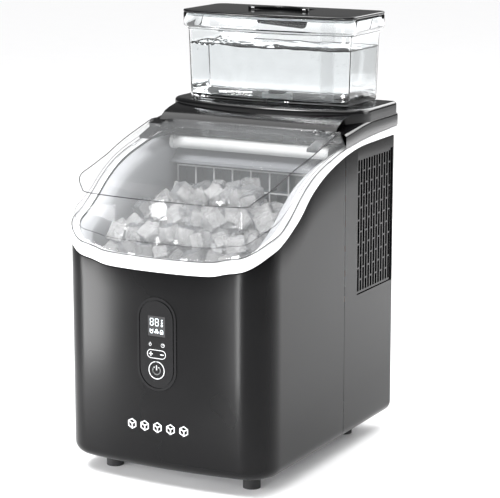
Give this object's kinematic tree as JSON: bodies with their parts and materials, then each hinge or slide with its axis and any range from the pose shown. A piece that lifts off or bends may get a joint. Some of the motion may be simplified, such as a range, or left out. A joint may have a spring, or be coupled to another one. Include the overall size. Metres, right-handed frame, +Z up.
{
  "type": "ice maker",
  "caption": "Counter-top ice maker: bowed shell, hinged clear lid over an ice basket, lift-off water tank on a rear platform, front control panel.",
  "frame": {"origin": "on the floor, under the middle of the casing", "axes": "+X to the right seen from the front, +Y to the back, +Z up"},
  "size_m": [0.2366, 0.3206, 0.4637],
  "materials": {
    "casing_black": "satin black moulded ABS",
    "belt_white": "gloss white",
    "pan_steel": "galvanised",
    "foot_rubber": "matt",
    "fastener_steel": "bright",
    "cover_gloss": "gloss black",
    "tub_grey": "satin light grey",
    "basket_clear": "clear grey",
    "evaporator_metal": "plated",
    "copper": "copper tube",
    "part_white": "white",
    "guide_grey": "grey",
    "part_black": "black",
    "hose_clear": "silicone",
    "compressor_black": "gloss enamel",
    "fin_aluminium": "plain",
    "circuit_green": "solder mask",
    "bezel_black": "satin black",
    "window_black": "piano black",
    "badge_light": "printed light mark",
    "lid_clear": "clear",
    "pad_soft": "clear silicone",
    "tank_clear": "clear",
    "seal_white": "silicone",
    "seal_red": "silicone"
  },
  "bodies": {
    "base": {"front_shell": "casing_black", "rear_shell": "casing_black", "white_belt": "belt_white", "base_pan": "pan_steel", "feet": "foot_rubber", "foot_screws": "fastener_steel", "grille_right": "casing_black", "grille_left": "casing_black", "rear_cover": "cover_gloss", "hinge_pins": "fastener_steel", "inner_tub": "tub_grey", "evaporator_grid": "evaporator_metal", "evaporator_coil": "copper", "water_distributor": "part_white", "ice_guide": "guide_grey", "water_pump": "part_black", "riser_hose": "hose_clear", "float_stem": "part_white", "ice_full_sensors": "part_black", "compressor": "compressor_black", "compressor_grommets": "foot_rubber", "condenser_fins": "fin_aluminium", "condenser_coil": "copper", "fan_shroud": "part_black", "fan_motor": "pan_steel", "refrigerant_pipes": "copper", "filter_drier": "copper", "power_board": "circuit_green", "drain_spout": "part_white", "cord_gland": "part_black", "rear_screws": "fastener_steel", "control_bezel": "bezel_black", "display_window": "window_black", "rocker_pin": "fastener_steel", "control_board": "circuit_green", "front_badge": "badge_light", "valve_socket": "tub_grey", "fill_hose": "hose_clear"},
    "lid": {"lid_window": "lid_clear", "lid_arms": "cover_gloss", "lid_pads": "pad_soft"},
    "basket": {"ice_basket": "basket_clear"},
    "tank": {"water_tank": "tank_clear", "standpipe": "part_white", "valve_body": "part_white"},
    "tank_cover": {"tank_lid": "cover_gloss", "tank_lid_seal": "seal_white", "handle_pins": "fastener_steel"},
    "handle": {"tank_handle": "cover_gloss"},
    "valve": {"valve_plunger": "seal_red"},
    "power_button": {"power_key": "bezel_black"},
    "rocker": {"rocker_key": "bezel_black"},
    "fan": {"fan_rotor": "part_black"},
    "float": {"level_float": "part_white"},
    "plug": {"drain_plug": "foot_rubber"}
  },
  "joints": [
    {"name": "lid_hinge", "type": "hinge", "parent": "base", "child": "lid", "pos_m": [0, 0.0185, 0.3412], "axis": [-1, 0, 0], "range_deg": [0, 92]},
    {"name": "basket_lift", "type": "slide", "parent": "base", "child": "basket", "axis": [0, 0, 1], "range_m": [0, 0.03]},
    {"name": "tank_lift", "type": "slide", "parent": "base", "child": "tank", "axis": [0, 0, 1], "range_m": [0, 0.12]},
    {"name": "tank_lid_lift", "type": "slide", "parent": "tank", "child": "tank_cover", "axis": [0, 0, 1], "range_m": [0, 0.06]},
    {"name": "handle_fold", "type": "hinge", "parent": "tank_cover", "child": "handle", "pos_m": [0, 0.1015, 0.4618], "axis": [1, 0, 0], "range_deg": [0, 90]},
    {"name": "valve_slide", "type": "slide", "parent": "tank", "child": "valve", "axis": [0, 0, 1], "range_m": [0, 0.004]},
    {"name": "power_press", "type": "slide", "parent": "base", "child": "power_button", "axis": [0, 1, 0], "range_m": [0, 0.0008], "stiffness_N_per_m": 400},
    {"name": "rocker_tilt", "type": "hinge", "parent": "base", "child": "rocker", "pos_m": [0, -0.1549, 0.14], "axis": [0, 0, 1], "range_deg": [-2.5, 2.5], "stiffness_Nm_per_rad": 0.02},
    {"name": "fan_spin", "type": "hinge", "parent": "base", "child": "fan", "pos_m": [0.06, 0.1055, 0.241], "axis": [1, 0, 0], "continuous": true},
    {"name": "float_rise", "type": "slide", "parent": "base", "child": "float", "axis": [0, 0, 1], "range_m": [0, 0.012]},
    {"name": "drain_plug_pull", "type": "slide", "parent": "base", "child": "plug", "axis": [0, 1, 0], "range_m": [0, 0.02]}
  ]
}
